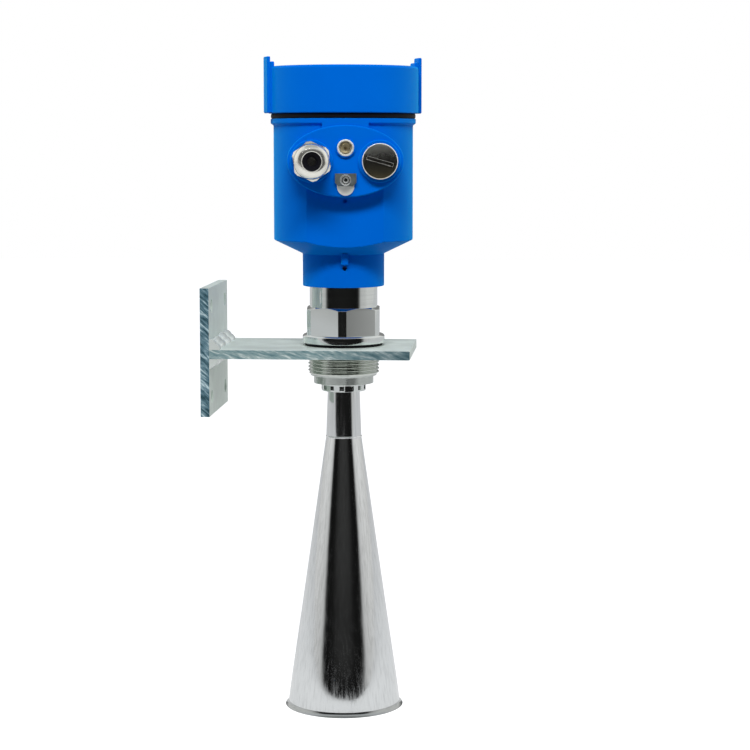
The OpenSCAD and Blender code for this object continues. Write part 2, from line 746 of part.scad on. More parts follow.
module blind_plug() {
    color(nickel) front(port_x, boss_z, 0) difference() {
        union() {
            translate([0, 0, entry_face - entry_thread_l]) cylinder(h = entry_thread_l + entry_seal_t, r = entry_r);
            translate([0, 0, gland_seat]) turned_ring(plug_r, 0, plug_head_h, 0.5);
        }
        translate([0, 0, plug_front - 1]) rotate([0, 0, slot_turn])
            translate([-slot_l / 2, -slot_w / 2, 0]) cube([slot_l, slot_w, 2]);
        translate([0, 0, entry_face - entry_thread_l - 1]) cylinder(h = entry_thread_l - 1, r = entry_r - 3);
    }
}

module lid_seal() {
    color(black) translate([0, 0, rim_z + face_gap])
        sealing_ring(collar_r - 0.2, spout_r + loose_gap, seal_t - 2 * face_gap);
}

// Screw lid with two lugs for a bar, moulded in one piece
module lid() {
    color(blue) difference() {
        union() {
            rotate_extrude()
                polygon(concat([[0, lid_z], [lid_r - 0.5, lid_z], [lid_r, lid_z + 0.5]],
                               arc([lid_r - lid_edge_r, lid_top_z - lid_edge_r], lid_edge_r, 0, 90),
                               [[0, lid_top_z]]));
            for (side = [0, 180])
                rotate([0, 0, lid_turn + side]) {
                    translate([lid_r + lug_out - lug_wall, -lug_w / 2, lid_z])
                        cube([lug_wall, lug_w, lid_h + lug_up]);
                    translate([lid_r + lug_out - lug_wall - lug_back, -lug_w / 2, lid_z])
                        cube([lug_back + 0.3, lug_w, lid_h + lug_step]);
                }
        }
        translate([0, 0, lid_z - 1]) cylinder(h = lid_h - lid_top_t + 1, r = spout_r + loose_gap);
    }
}

wall_plate();
bracket_arm();
weld_top();
weld_bottom();
process_fitting();
process_gasket();
lock_ring();
horn_socket();
horn();
feed_cone();
swivel_oring();
snap_ring();
housing();
neck_set_screw();
electronics_cup();
cup_screws();
terminal_block();
terminal_screws();
inner_earth_terminal();
vent_sleeve();
vent_screw();
earth_bush();
earth_plate();
gland_body();
gland_oring();
gland_claw();
gland_seal();
gland_nut();
plug_oring();
blind_plug();
earth_clamp();
earth_washer();
earth_screw();
lid_seal();
lid();
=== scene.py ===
"""Looks of a radar level transmitter with a horn antenna on a welded wall bracket.

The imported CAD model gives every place.  Lengths in the sections are in millimetres, and mm turns them
into metres.  Each section makes one piece, or one group of like pieces, in the order of assembly.
"""
import json
import math

import bpy
from mathutils import Matrix, Vector


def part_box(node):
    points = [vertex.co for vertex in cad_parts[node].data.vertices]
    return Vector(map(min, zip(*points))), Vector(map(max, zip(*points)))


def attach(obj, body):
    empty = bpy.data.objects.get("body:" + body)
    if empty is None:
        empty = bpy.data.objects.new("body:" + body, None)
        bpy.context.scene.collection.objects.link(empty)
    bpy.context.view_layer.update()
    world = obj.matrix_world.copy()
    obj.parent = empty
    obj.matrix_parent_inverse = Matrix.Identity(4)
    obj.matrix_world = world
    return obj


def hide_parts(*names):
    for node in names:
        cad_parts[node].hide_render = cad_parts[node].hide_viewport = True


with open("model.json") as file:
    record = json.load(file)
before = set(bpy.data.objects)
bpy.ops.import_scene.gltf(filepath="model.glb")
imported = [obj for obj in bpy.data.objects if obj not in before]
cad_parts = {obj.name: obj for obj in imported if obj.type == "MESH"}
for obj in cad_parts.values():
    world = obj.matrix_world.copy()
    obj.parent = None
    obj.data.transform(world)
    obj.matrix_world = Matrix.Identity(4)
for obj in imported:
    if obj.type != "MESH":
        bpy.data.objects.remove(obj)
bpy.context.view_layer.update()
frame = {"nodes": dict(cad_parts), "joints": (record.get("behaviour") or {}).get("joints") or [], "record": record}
bpy.ops.object.select_all(action="DESELECT")

mm = 0.001
joints = {joint["name"]: joint for joint in frame["joints"]}


# --- Camera -------------------------------------------------------------------------------------------
# A long lens, a little above the middle of the instrument and looking slightly down on it.
camera_distance = 1.382
camera_height = 0.3838
camera_side = math.radians(5)
camera_tilt = math.radians(6.5)
camera_aside = math.radians(0.876)
lens_length, film_width = 98.88, 36

bpy.ops.object.camera_add(
    location=(camera_distance * math.sin(camera_side), -camera_distance * math.cos(camera_side),
              camera_height),
    rotation=(math.pi / 2 - camera_tilt, 0, camera_side - camera_aside),
)
camera = bpy.context.object
camera.data.sensor_width = film_width
camera.data.lens = lens_length
bpy.context.scene.camera = camera
bpy.context.scene.view_settings.view_transform = "Standard"


# --- Studio -------------------------------------------------------------------------------------------
# White surroundings with one dark stretch in front of the instrument, as between two large softboxes, and a
# softer one behind it.  Polished metal shows each as a dark upright band.  The floor is a pale sheet.
dark_centre = math.radians(2.5)
overhead_grey = (0.75, 0.77, 0.80, 1)
ceiling_grey = (0.38, 0.39, 0.39, 1)
diffuse_gamma, diffuse_strength = 3.5, 2.05
world = bpy.data.worlds.new("studio")
bpy.context.scene.world = world
world.use_nodes = True
tree = world.node_tree
tree.nodes.clear()


def feed(tree, socket, value):
    """Links an input to a socket, or gives it a plain value."""
    if isinstance(value, bpy.types.NodeSocket):
        tree.links.new(value, socket)
    else:
        socket.default_value = value


def node(tree, kind, **settings):
    """Adds a shader node; settings that name an input feed it."""
    made = tree.nodes.new(kind)
    for name, value in settings.items():
        if hasattr(made, name):
            setattr(made, name, value)
        else:
            feed(tree, made.inputs[name.replace("_", " ")], value)
    return made


def ramp(tree, factor, *stops):
    """Colour ramp with (position, colour) stops, fed by a socket."""
    made = tree.nodes.new("ShaderNodeValToRGB")
    while len(made.color_ramp.elements) < len(stops):
        made.color_ramp.elements.new(0.5)
    for element, (position, colour) in zip(made.color_ramp.elements, stops):
        element.position = position
        element.color = (*colour, 1) if isinstance(colour, tuple) else (colour, colour, colour, 1)
    tree.links.new(factor, made.inputs["Fac"])
    return made.outputs["Color"]


def maths(tree, operation, *values):
    """Result of a math node fed by sockets or numbers."""
    made = node(tree, "ShaderNodeMath", operation=operation)
    for socket, value in zip(made.inputs, values):
        feed(tree, socket, value)
    return made.outputs[0]


def blend(tree, factor, first, second, kind="MIX"):
    """Two colours mixed or multiplied, each a socket or a plain colour."""
    made = node(tree, "ShaderNodeMix", data_type="RGBA", blend_type=kind, Factor=factor, A=first, B=second)
    return made.outputs["Result"]


def choice(tree, factor, first, second):
    """One of two shaders, by a factor."""
    made = node(tree, "ShaderNodeMixShader")
    for socket, value in zip(made.inputs, (factor, first, second)):
        tree.links.new(value, socket)
    return made.outputs[0]


split = node(tree, "ShaderNodeSeparateXYZ", Vector=node(tree, "ShaderNodeTexCoord").outputs["Generated"])
rise = split.outputs["Z"]
level = node(tree, "ShaderNodeCombineXYZ", X=split.outputs["X"], Y=split.outputs["Y"])
unit = node(tree, "ShaderNodeVectorMath", operation="NORMALIZE", Vector=level.outputs[0])
dot = node(tree, "ShaderNodeVectorMath", operation="DOT_PRODUCT", Vector=unit.outputs[0])
dot.inputs[1].default_value = (math.sin(dark_centre), -math.cos(dark_centre), 0)
towards = dot.outputs["Value"]

# The front stretch is narrower close to the horizon, and its shape differs below and above it.
narrowing = ramp(tree, maths(tree, "ADD", rise, 0.5),
                 (0.480, 0.0), (0.495, 0.20), (0.515, 0.12), (0.535, 0.05), (0.575, 0.0))
facing = maths(tree, "SUBTRACT", towards, narrowing)
below = ramp(tree, facing, (0.0, 0.70), (0.17, 0.60), (0.34, 0.58), (0.46, 0.52), (0.54, 0.16),
             (0.61, 0.02), (0.70, 0.008), (1.0, 0.012))
above = ramp(tree, facing, (0.0, 0.88), (0.15, 0.84), (0.42, 0.68), (0.52, 0.42), (0.60, 0.03),
             (0.68, 0.006), (0.84, 0.010), (0.95, 0.035), (1.0, 0.04))
around = blend(tree, ramp(tree, rise, (0.0, 0.0), (0.08, 1.0)), below, above)
behind = ramp(tree, maths(tree, "MULTIPLY", towards, -1), (0.0, 1.0), (0.84, 1.0), (0.93, 0.28))
walls = blend(tree, 1, around, behind, "MULTIPLY")
room = blend(tree, ramp(tree, rise, (0.0, 0.0), (0.55, 0.0), (0.80, 1.0)), walls, overhead_grey)

# Mirror rays also meet a darker ceiling; diffuse light is steeper and comes more from the sides.
mirrored_room = blend(tree, ramp(tree, rise, (0.0, 0.0), (0.84, 0.0), (0.93, 1.0)), room, ceiling_grey)
seen = node(tree, "ShaderNodeBackground", Strength=1.0, Color=mirrored_room)
steeper = node(tree, "ShaderNodeGamma", Gamma=diffuse_gamma, Color=room)
sides = ramp(tree, maths(tree, "ABSOLUTE", split.outputs["X"]), (0.0, 0.60), (0.45, 0.66), (0.85, 1.0))
from_sides = blend(tree, 1, steeper.outputs["Color"], sides, "MULTIPLY")
soft = node(tree, "ShaderNodeBackground", Strength=diffuse_strength, Color=from_sides)
blank = node(tree, "ShaderNodeBackground", Strength=1.0, Color=(1, 1, 1, 1))
path = node(tree, "ShaderNodeLightPath")
mirrored = maths(tree, "MAXIMUM", path.outputs["Is Glossy Ray"], path.outputs["Is Transmission Ray"])
lit = choice(tree, mirrored, soft.outputs[0], seen.outputs[0])
backdrop = choice(tree, path.outputs["Is Camera Ray"], lit, blank.outputs[0])
node(tree, "ShaderNodeOutputWorld", Surface=backdrop)

floor_grey, floor_in_view, floor_in_metal = 0.45, 0.85, 0.36
bpy.ops.mesh.primitive_plane_add(size=6, location=(0, 2.2, 0))
floor = bpy.context.object
floor.name = "floor"
bpy.ops.mesh.primitive_plane_add(size=1, location=(-1.35, -1.2, 0))
front_sheet = bpy.context.object
front_sheet.name = "front_sheet"
front_sheet.scale = (3.3, 0.8, 1)
floor_paint = bpy.data.materials.new("pale_floor")
floor_paint.use_nodes = True
tree = floor_paint.node_tree
sheet = tree.nodes["Principled BSDF"]
sheet.inputs["Base Color"].default_value = (floor_grey, floor_grey, floor_grey, 1)
sheet.inputs["Roughness"].default_value = 0.9
path = node(tree, "ShaderNodeLightPath")
in_metal = maths(tree, "MULTIPLY", path.outputs["Is Glossy Ray"], floor_in_metal)
shown = maths(tree, "MULTIPLY_ADD", path.outputs["Is Camera Ray"], floor_in_view, in_metal)
glow = node(tree, "ShaderNodeEmission", Strength=shown)
both = node(tree, "ShaderNodeAddShader")
tree.links.new(sheet.outputs[0], both.inputs[0])
tree.links.new(glow.outputs[0], both.inputs[1])
tree.links.new(both.outputs[0], tree.nodes["Material Output"].inputs["Surface"])
for part in (floor, front_sheet):
    part.data.materials.append(floor_paint)

lamp_place, lamp_aim = Vector((0.07, -0.92, 1.24)), Vector((0, 0, 0.35))
lamp_width, lamp_depth, lamp_power = 0.90, 0.24, 17.5
bpy.ops.object.light_add(type="AREA", location=lamp_place)
lamp = bpy.context.object
lamp.name = "top_softbox"
lamp.data.shape = "RECTANGLE"
lamp.data.size, lamp.data.size_y = lamp_width, lamp_depth
lamp.data.energy = lamp_power
lamp.visible_glossy = False
lamp.rotation_euler = (lamp_aim - lamp_place).to_track_quat("-Z", "Y").to_euler()


# --- Wall bracket -------------------------------------------------------------------------------------
# Two pieces of 6 mm steel flat, zinc coated.  The broad faces keep the dull white sheen of the coat, and
# the cut edges show blue-grey saw and grinding marks.
def surface_finish(name, colour, roughness, metallic=0.0):
    """Starts a material; returns it with its tree and its shader."""
    made = bpy.data.materials.new(name)
    made.use_nodes = True
    shader = made.node_tree.nodes["Principled BSDF"]
    shader.inputs["Base Color"].default_value = (*colour, 1)
    shader.inputs["Roughness"].default_value = roughness
    shader.inputs["Metallic"].default_value = metallic
    return made, made.node_tree, shader


def grain_group():
    """Shader node group: stretched noise as a mask, with a bump normal made from it."""
    group = bpy.data.node_groups.new("stretched_grain", "ShaderNodeTree")
    face = group.interface
    for name, kind in (("Stretch", "NodeSocketVector"), ("Scale", "NodeSocketFloat"),
                       ("Detail", "NodeSocketFloat"), ("Bump", "NodeSocketFloat")):
        face.new_socket(name, in_out="INPUT", socket_type=kind)
    face.new_socket("Mask", in_out="OUTPUT", socket_type="NodeSocketFloat")
    face.new_socket("Normal", in_out="OUTPUT", socket_type="NodeSocketVector")
    start = group.nodes.new("NodeGroupInput")
    end = group.nodes.new("NodeGroupOutput")
    place = group.nodes.new("ShaderNodeTexCoord")
    spread = group.nodes.new("ShaderNodeVectorMath")
    spread.operation = "MULTIPLY"
    group.links.new(place.outputs["Object"], spread.inputs[0])
    group.links.new(start.outputs["Stretch"], spread.inputs[1])
    noise = group.nodes.new("ShaderNodeTexNoise")
    group.links.new(spread.outputs[0], noise.inputs["Vector"])
    group.links.new(start.outputs["Scale"], noise.inputs["Scale"])
    group.links.new(start.outputs["Detail"], noise.inputs["Detail"])
    bump = group.nodes.new("ShaderNodeBump")
    bump.inputs["Distance"].default_value = 0.0002
    group.links.new(noise.outputs["Fac"], bump.inputs["Height"])
    group.links.new(start.outputs["Bump"], bump.inputs["Strength"])
    group.links.new(noise.outputs["Fac"], end.inputs["Mask"])
    group.links.new(bump.outputs["Normal"], end.inputs["Normal"])
    return group


stretched_grain = grain_group()


def grain(tree, stretch, scale, detail, bump):
    """Places the grain group in a material with its own values."""
    made = tree.nodes.new("ShaderNodeGroup")
    made.node_tree = stretched_grain
    made.inputs["Stretch"].default_value = stretch
    made.inputs["Scale"].default_value = scale
    made.inputs["Detail"].default_value = detail
    made.inputs["Bump"].default_value = bump
    return made


def speckled(tree, shader, stretch, scale, detail, bump, low, high):
    """Lets a fine grain change the gloss and the surface of a material; returns its mask."""
    specks = grain(tree, stretch, scale, detail, bump)
    tree.links.new(ramp(tree, specks.outputs["Mask"], (0.3, low), (0.7, high)), shader.inputs["Roughness"])
    tree.links.new(specks.outputs["Normal"], shader.inputs["Normal"])
    return specks.outputs["Mask"]


def object_place(tree):
    """Place on the object, split into its X, Y and Z."""
    split = node(tree, "ShaderNodeSeparateXYZ", Vector=node(tree, "ShaderNodeTexCoord").outputs["Object"])
    return split.outputs


zinc_coat, tree, shader = surface_finish("zinc_coat", (0.80, 0.85, 0.81), 0.42, 0.3)
spangle = speckled(tree, shader, (1, 1, 1), 60, 3, 0.12, 0.34, 0.50)
tree.links.new(ramp(tree, spangle, (0.35, (0.66, 0.74, 0.68)), (0.65, (0.77, 0.85, 0.79))),
               shader.inputs["Base Color"])


def marked_edge(name, slant, *shades):
    """Cut steel edge crossed by slanting marks; shades run from the deepest mark to the brightest.

    The edge darkens towards the arm's free end.
    """
    made, tree, shader = surface_finish(name, shades[1], 0.38, 0.3)
    marks = grain(tree, (1.0, 0.5, 2.6), 150, 6, 0.5)
    axes = node(tree, "ShaderNodeMapping", vector_type="TEXTURE",
                Vector=node(tree, "ShaderNodeTexCoord").outputs["Object"],
                Rotation=(0, math.radians(slant), 0), Scale=(1 / 110, 1 / 60, 1 / 620))
    scratches = node(tree, "ShaderNodeTexNoise", Vector=axes.outputs[0], Scale=1.0, Detail=3.0, Roughness=0.6)
    clean = ramp(tree, scratches.outputs["Fac"], *zip((0.34, 0.46, 0.56, 0.66), shades))
    outwards = node(tree, "ShaderNodeMapRange", Value=object_place(tree)["X"], From_Min=-0.02, From_Max=0.045)
    tree.links.new(blend(tree, outwards.outputs[0], clean, (0.42, 0.48, 0.52, 1), "MULTIPLY"),
                   shader.inputs["Base Color"])
    tree.links.new(marks.outputs["Normal"], shader.inputs["Normal"])
    return made


sawn_edge = marked_edge("sawn_edge", 42, (0.02, 0.07, 0.09), (0.10, 0.20, 0.25), (0.19, 0.32, 0.38),
                        (0.60, 0.76, 0.80))
ground_edge = marked_edge("ground_edge", 18, (0.13, 0.24, 0.26), (0.25, 0.38, 0.40), (0.35, 0.47, 0.47),
                          (0.66, 0.76, 0.74))


def plain_box(name, low, high):
    """A block between two corners, in metres."""
    centre = [(a + b) / 2 for a, b in zip(low, high)]
    bpy.ops.mesh.primitive_cube_add(size=1, location=centre)
    made = bpy.context.object
    made.name = name
    made.scale = [b - a for a, b in zip(low, high)]
    bpy.ops.object.transform_apply(location=True, rotation=True, scale=True)
    return made


def cylinder(name, radius, low, high, segments=96):
    """A round bar on the Z axis, in millimetres."""
    bpy.ops.mesh.primitive_cylinder_add(vertices=segments, radius=radius * mm, depth=(high - low) * mm,
                                        location=(0, 0, (low + high) / 2 * mm))
    made = bpy.context.object
    made.name = name
    bpy.ops.object.transform_apply(location=True, rotation=True, scale=True)
    return made


def corner_r(across_flats):
    """Radius over the corners of a hexagon."""
    return across_flats / 2 / math.cos(math.pi / 6)


def pick(piece):
    """Makes a piece the only selected one, and the active one."""
    bpy.ops.object.select_all(action="DESELECT")
    bpy.context.view_layer.objects.active = piece
    piece.select_set(True)


def reshape(piece, kind, **settings):
    """Adds a modifier with its settings, and applies it."""
    change = piece.modifiers.new(kind.lower(), kind)
    for name, value in settings.items():
        setattr(change, name, value)
    pick(piece)
    bpy.ops.object.modifier_apply(modifier=change.name)


def join_shape(piece, tool, operation="UNION"):
    """Adds, cuts or keeps the shape of a tool, which is then gone."""
    reshape(piece, "BOOLEAN", operation=operation, solver="EXACT", object=tool)
    bpy.data.objects.remove(tool)


def ease_edges(piece, width, segments=2, angle=30):
    """Bevels every sharp edge, as deburring or a mould's radius does."""
    reshape(piece, "BEVEL", width=width * mm, segments=segments, limit_method="ANGLE",
            angle_limit=math.radians(angle), harden_normals=False)


def place_by(piece, matrix):
    """Moves a piece and lets its mesh hold the place."""
    piece.matrix_world = matrix @ piece.matrix_world
    pick(piece)
    bpy.ops.object.transform_apply(location=True, rotation=True, scale=True)


def finished(piece, finish, body, slot, *stands_for, smooth=35):
    """Shades a piece, gives it its material, and ties it to the frame."""
    pick(piece)
    bpy.ops.object.shade_smooth_by_angle(angle=math.radians(smooth))
    reshape(piece, "WEIGHTED_NORMAL", weight=85, keep_sharp=True)
    if not piece.data.materials:
        piece.data.materials.append(finish)
    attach(piece, body)
    if stands_for:
        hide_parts(*stands_for)
    piece.select_set(False)


def edge_paint(piece, face_finish, edge_finish, keeps):
    """Gives the second material to the faces that pass a test."""
    piece.data.materials.append(face_finish)
    piece.data.materials.append(edge_finish)
    for face in piece.data.polygons:
        if keeps(face):
            face.material_index = 1


wall_low, wall_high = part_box("wall_plate")
wall_plate = plain_box("wall_plate_steel", wall_low, wall_high)
wall_bolts = [m for m in frame["record"]["mounts"] if m["name"] == "wall_bolts"][0]
bolts = wall_bolts["dims"]
bolt_y = bolts["spacing_x_mm"] / 2
bolt_z = bolts["spacing_y_mm"] / 2
bolt_middle = wall_bolts["pos_m"][2]
for y in (-bolt_y, bolt_y):
    for z in (-bolt_z, bolt_z):
        drill = cylinder("drill", bolts["hole_r_mm"], -10, 10, 48)
        place_by(drill, Matrix.Translation((wall_low.x, y * mm, bolt_middle + z * mm))
                 @ Matrix.Rotation(math.pi / 2, 4, "Y"))
        join_shape(wall_plate, drill, "DIFFERENCE")
ease_edges(wall_plate, 0.5, 2)
edge_paint(wall_plate, zinc_coat, sawn_edge,
           lambda face: abs(face.normal.y) > 0.9 and abs(face.center.y) > wall_high.y - mm)
finished(wall_plate, zinc_coat, "root", "galvanised_steel", "wall_plate")

arm_low, arm_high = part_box("bracket_arm")
bracket_arm = plain_box("bracket_arm_steel", arm_low, arm_high)
thread_r, thread_play = 23.9, 0.15
drill = cylinder("drill", thread_r + thread_play, arm_low.z / mm - 5, arm_high.z / mm + 5, 128)
join_shape(bracket_arm, drill, "DIFFERENCE")
ease_edges(bracket_arm, 0.35, 2)
edge_paint(bracket_arm, zinc_coat, ground_edge,
           lambda face: abs(face.normal.y) > 0.9 and abs(face.center.y) > arm_high.y - mm)
finished(bracket_arm, zinc_coat, "root", "galvanised_steel", "bracket_arm")


# --- Fillet welds -------------------------------------------------------------------------------------
# One run of weld along each inner corner, laid by hand in uneven lumps and dipped in zinc with the rest, so
# it is bright; the dark creases between the lumps are painted shade.  The last columns of each bead close it at
# the corner.
weld_shine, tree, shader = surface_finish("weld_shine", (0.82, 0.87, 0.84), 0.20, 0.4)
ripple = grain(tree, (0.6, 1, 0.6), 90, 3, 0.2)
tree.links.new(ripple.outputs["Normal"], shader.inputs["Normal"])
weld_low, weld_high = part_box("weld_top")
lumps, first_lump, wander = 3.6, 0.35, 0.006
thin_reach, lump_reach, hollow = 0.62, 0.42, 0.20
# Painted shade: the colour darkens nearly to black where the lumps meet, in the creases between them.
along = maths(tree, "MULTIPLY_ADD", ripple.outputs["Mask"], wander, object_place(tree)["Y"])
phase = node(tree, "ShaderNodeMapRange", Value=along, From_Min=weld_low.y + wander / 2,
             From_Max=weld_high.y + wander / 2, To_Min=first_lump * math.pi,
             To_Max=(first_lump + lumps) * math.pi)
height = maths(tree, "ABSOLUTE", maths(tree, "SINE", phase.outputs[0]))
tree.links.new(ramp(tree, height, (0.04, (0.10, 0.12, 0.11)), (0.12, (0.50, 0.56, 0.52)),
                    (0.35, (0.84, 0.90, 0.86))), shader.inputs["Base Color"])


def close_ends(piece):
    """Fills the open ends of a piece and turns its faces outwards."""
    pick(piece)
    bpy.ops.object.mode_set(mode="EDIT")
    bpy.ops.mesh.select_mode(type="EDGE")
    bpy.ops.mesh.select_all(action="DESELECT")
    bpy.ops.mesh.select_non_manifold(extend=False)
    bpy.ops.mesh.fill_holes(sides=0)
    bpy.ops.mesh.select_all(action="SELECT")
    bpy.ops.mesh.normals_make_consistent(inside=False)
    bpy.ops.mesh.select_mode(type="VERT")
    bpy.ops.object.mode_set(mode="OBJECT")


for name, up in (("weld_top", 1), ("weld_bottom", -1)):
    low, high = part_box(name)
    leg = high.x - low.x
    corner_z = low.z if up > 0 else high.z
    across = 12
    bpy.ops.mesh.primitive_grid_add(x_subdivisions=across, y_subdivisions=120, size=1)
    bead = bpy.context.object
    bead.name = name + "_bead"
    for point in bead.data.vertices:
        column = round((point.co.x + 0.5) * across)
        t = point.co.y + 0.5
        turn = min(1, column / (across - 2)) * math.pi / 2
        lump = abs(math.sin(math.pi * (lumps * t + first_lump))) ** 0.5
        ripple_wave = 0.012 * math.sin(t * 190) + 0.05 * math.sin(t * 9 + 2 * up)
        reach = leg * (thin_reach + lump_reach * lump + ripple_wave)
        reach *= 1 - hollow + hollow * abs(math.cos(2 * turn))
        if column == across - 1:
            reach = 0
        if column == across:
            turn = 0
        point.co = (low.x + reach * math.cos(turn), low.y + t * (high.y - low.y),
                    corner_z + up * reach * math.sin(turn))
    bpy.ops.object.mode_set(mode="EDIT")
    bpy.ops.mesh.select_all(action="SELECT")
    bpy.ops.mesh.remove_doubles(threshold=mm / 100)
    bpy.ops.object.mode_set(mode="OBJECT")
    close_ends(bead)
    finished(bead, weld_shine, "root", "galvanised_steel", name, smooth=50)


# --- Process fitting ----------------------------------------------------------------------------------
# Spigot, thread, flange, hexagon and neck tube turned from one stainless bar, then polished.  The thread is
# cut as a helix over a slimmer core, and the hexagon's corners are turned down.
def wire(name, outline):
    """Outline of (radius, height) points; closed unless it starts on the axis.  Left open for editing."""
    bpy.ops.mesh.primitive_plane_add(size=mm)
    made = bpy.context.object
    made.name = name
    bpy.ops.object.mode_set(mode="EDIT")
    bpy.ops.mesh.select_all(action="SELECT")
    bpy.ops.mesh.merge(type="CENTER")
    radius, height = outline[0]
    bpy.ops.transform.translate(value=(radius * mm, 0, height * mm))
    loop = list(outline) + ([outline[0]] if outline[0][0] > 0 else [])
    for (r0, z0), (r1, z1) in zip(loop, loop[1:]):
        bpy.ops.mesh.extrude_region_move(
            TRANSFORM_OT_translate={"value": ((r1 - r0) * mm, 0, (z1 - z0) * mm)})
    bpy.ops.mesh.select_all(action="SELECT")
    bpy.ops.mesh.remove_doubles(threshold=mm / 500)
    return made


def turned(name, outline, ease=0.25, steps=160):
    """Spins an outline round the Z axis, with its corners eased first."""
    made = wire(name, outline)
    if ease:
        bpy.ops.mesh.bevel(affect="VERTICES", offset=ease * mm, segments=2, clamp_overlap=True)
    bpy.ops.mesh.select_all(action="SELECT")
    bpy.ops.mesh.spin(steps=steps, angle=2 * math.pi, center=(0, 0, 0), axis=(0, 0, 1))
    bpy.ops.mesh.select_all(action="SELECT")
    bpy.ops.mesh.remove_doubles(threshold=mm / 200)
    bpy.ops.mesh.normals_make_consistent(inside=False)
    bpy.ops.object.mode_set(mode="OBJECT")
    return made


def polished(name, colour, low_gloss, high_gloss, stretch, scale, bump, depth=0.86, metal=1.0):
    """Polished metal whose fine marks follow the way it was turned or drawn; depth dims their colour."""
    made, tree, shader = surface_finish(name, colour, low_gloss, metal)
    lines = grain(tree, stretch, scale, 5, bump)
    tree.links.new(ramp(tree, lines.outputs["Mask"], (0.35, low_gloss), (0.70, high_gloss)),
                   shader.inputs["Roughness"])
    dark = tuple(c * depth for c in colour)
    tree.links.new(ramp(tree, lines.outputs["Mask"], (0.30, dark), (0.55, colour)),
                   shader.inputs["Base Color"])
    tree.links.new(lines.outputs["Normal"], shader.inputs["Normal"])
    return made


turned_steel = polished("turned_steel", (0.735, 0.765, 0.745), 0.04, 0.09, (0.15, 0.15, 6), 180, 0.008, 0.94)
thread_steel = polished("thread_steel", (0.63, 0.66, 0.615), 0.05, 0.12, (3, 3, 0.3), 120, 0.02)

spigot_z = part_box("process_fitting")[0].z / mm
arm_top_z = arm_high.z / mm
flange_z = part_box("process_gasket")[1].z / mm
spigot_l, flange_t, hex_h = 6.4, 5.6, 18.6
thread_z = spigot_z + spigot_l
hex_z = flange_z + flange_t
tube_z = hex_z + hex_h
housing_low, housing_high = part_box("housing")
neck_z = housing_low.z / mm
seat_z, stub_z = neck_z + 5, neck_z + 24
spigot_r, core_r, flange_r, tube_r, stub_r = 20.1, 22.5, 27.6, 22.8, 20.8
bore_r, bore_l, passage_r, pocket_r = 10.95, 12, 6.6, 16.8
fitting = turned("process_fitting_steel", [
    (bore_r, spigot_z), (spigot_r, spigot_z), (spigot_r, thread_z - 1.2), (core_r - 0.3, thread_z - 1.2),
    (core_r, thread_z + 0.2), (core_r, flange_z), (flange_r, flange_z), (flange_r, hex_z - 1.0),
    (flange_r - 1.0, hex_z), (tube_r, hex_z), (tube_r, seat_z), (stub_r, seat_z), (stub_r, stub_z),
    (pocket_r, stub_z), (pocket_r, tube_z), (passage_r, tube_z), (passage_r, spigot_z + bore_l),
    (bore_r, spigot_z + bore_l)], ease=0.3)
milled_steel = polished("milled_steel", (0.60, 0.635, 0.60), 0.14, 0.30, (2, 2, 0.15), 70, 0.03, metal=0.74)
edge_paint(fitting, turned_steel, milled_steel, lambda face: face.center.z < (thread_z - 0.5) * mm)
finished(fitting, turned_steel, "root", "polished_stainless", "process_fitting")

# Hexagon: a six-sided bar kept inside a turned outline
hex_af, hex_corner_r, corner_cut = 48.4, 26.5, 2.6
bar = cylinder("fitting_hexagon", corner_r(hex_af), hex_z - 0.4, tube_z, 6)
place_by(bar, Matrix.Rotation(math.radians(3), 4, "Z"))
lathe = turned("lathe", [(0, hex_z - 1), (hex_corner_r, hex_z - 1), (hex_corner_r, tube_z - 1.6),
                         (hex_corner_r - corner_cut, tube_z + 0.1), (0, tube_z + 0.1)], ease=0.3)
join_shape(bar, lathe, "INTERSECT")
ease_edges(bar, 0.22, 2, 25)
flat_steel = polished("flat_steel", (0.735, 0.765, 0.745), 0.04, 0.08, (1, 1, 1), 40, 0.004, 0.96)
finished(bar, flat_steel, "root", "polished_stainless", "process_fitting", smooth=25)

# Thread: one V-shaped ridge wound up the core, run out by the chamfer at its lower end
pitch = 2.309
thread_top = flange_z - 0.1
turns = int((thread_top - thread_z) / pitch) + 2
ridge = [(core_r - 0.6, 0.0), (core_r, 0.06), (thread_r - 0.1, 0.90), (thread_r, 0.98), (thread_r, 1.32),
         (thread_r - 0.1, 1.40), (core_r, 2.24), (core_r - 0.6, 2.30)]
thread = wire("process_thread", [(r, thread_z - 2 * pitch + z) for r, z in ridge])
bpy.ops.object.mode_set(mode="OBJECT")
reshape(thread, "SCREW", axis="Z", angle=2 * math.pi, screw_offset=pitch * mm, iterations=turns, steps=96,
        render_steps=96, use_merge_vertices=False)
close_ends(thread)
lathe = turned("lathe", [
    (core_r - 1, thread_z - 0.2), (core_r - 0.2, thread_z - 0.2), (thread_r + 0.05, thread_z + 1.3),
    (thread_r + 0.05, thread_top), (core_r - 1, thread_top)], ease=0)
join_shape(thread, lathe, "INTERSECT")
finished(thread, thread_steel, "root", "polished_stainless", "process_fitting", smooth=30)


# --- Process gasket -----------------------------------------------------------------------------------
# Flat black sealing ring squeezed between the flange and the arm.
rubber, tree, shader = surface_finish("black_rubber", (0.006, 0.006, 0.008), 0.6)
shader.inputs["Specular IOR Level"].default_value = 0.12
speckled(tree, shader, (1, 1, 1), 900, 2, 0.15, 0.55, 0.75)
gasket_r = 25.9
gasket = turned("process_gasket_ring", [
    (thread_r + 0.1, arm_top_z), (gasket_r, arm_top_z), (gasket_r, flange_z), (thread_r + 0.1, flange_z)],
    ease=0.35)
finished(gasket, rubber, "root", "black_rubber", "process_gasket")
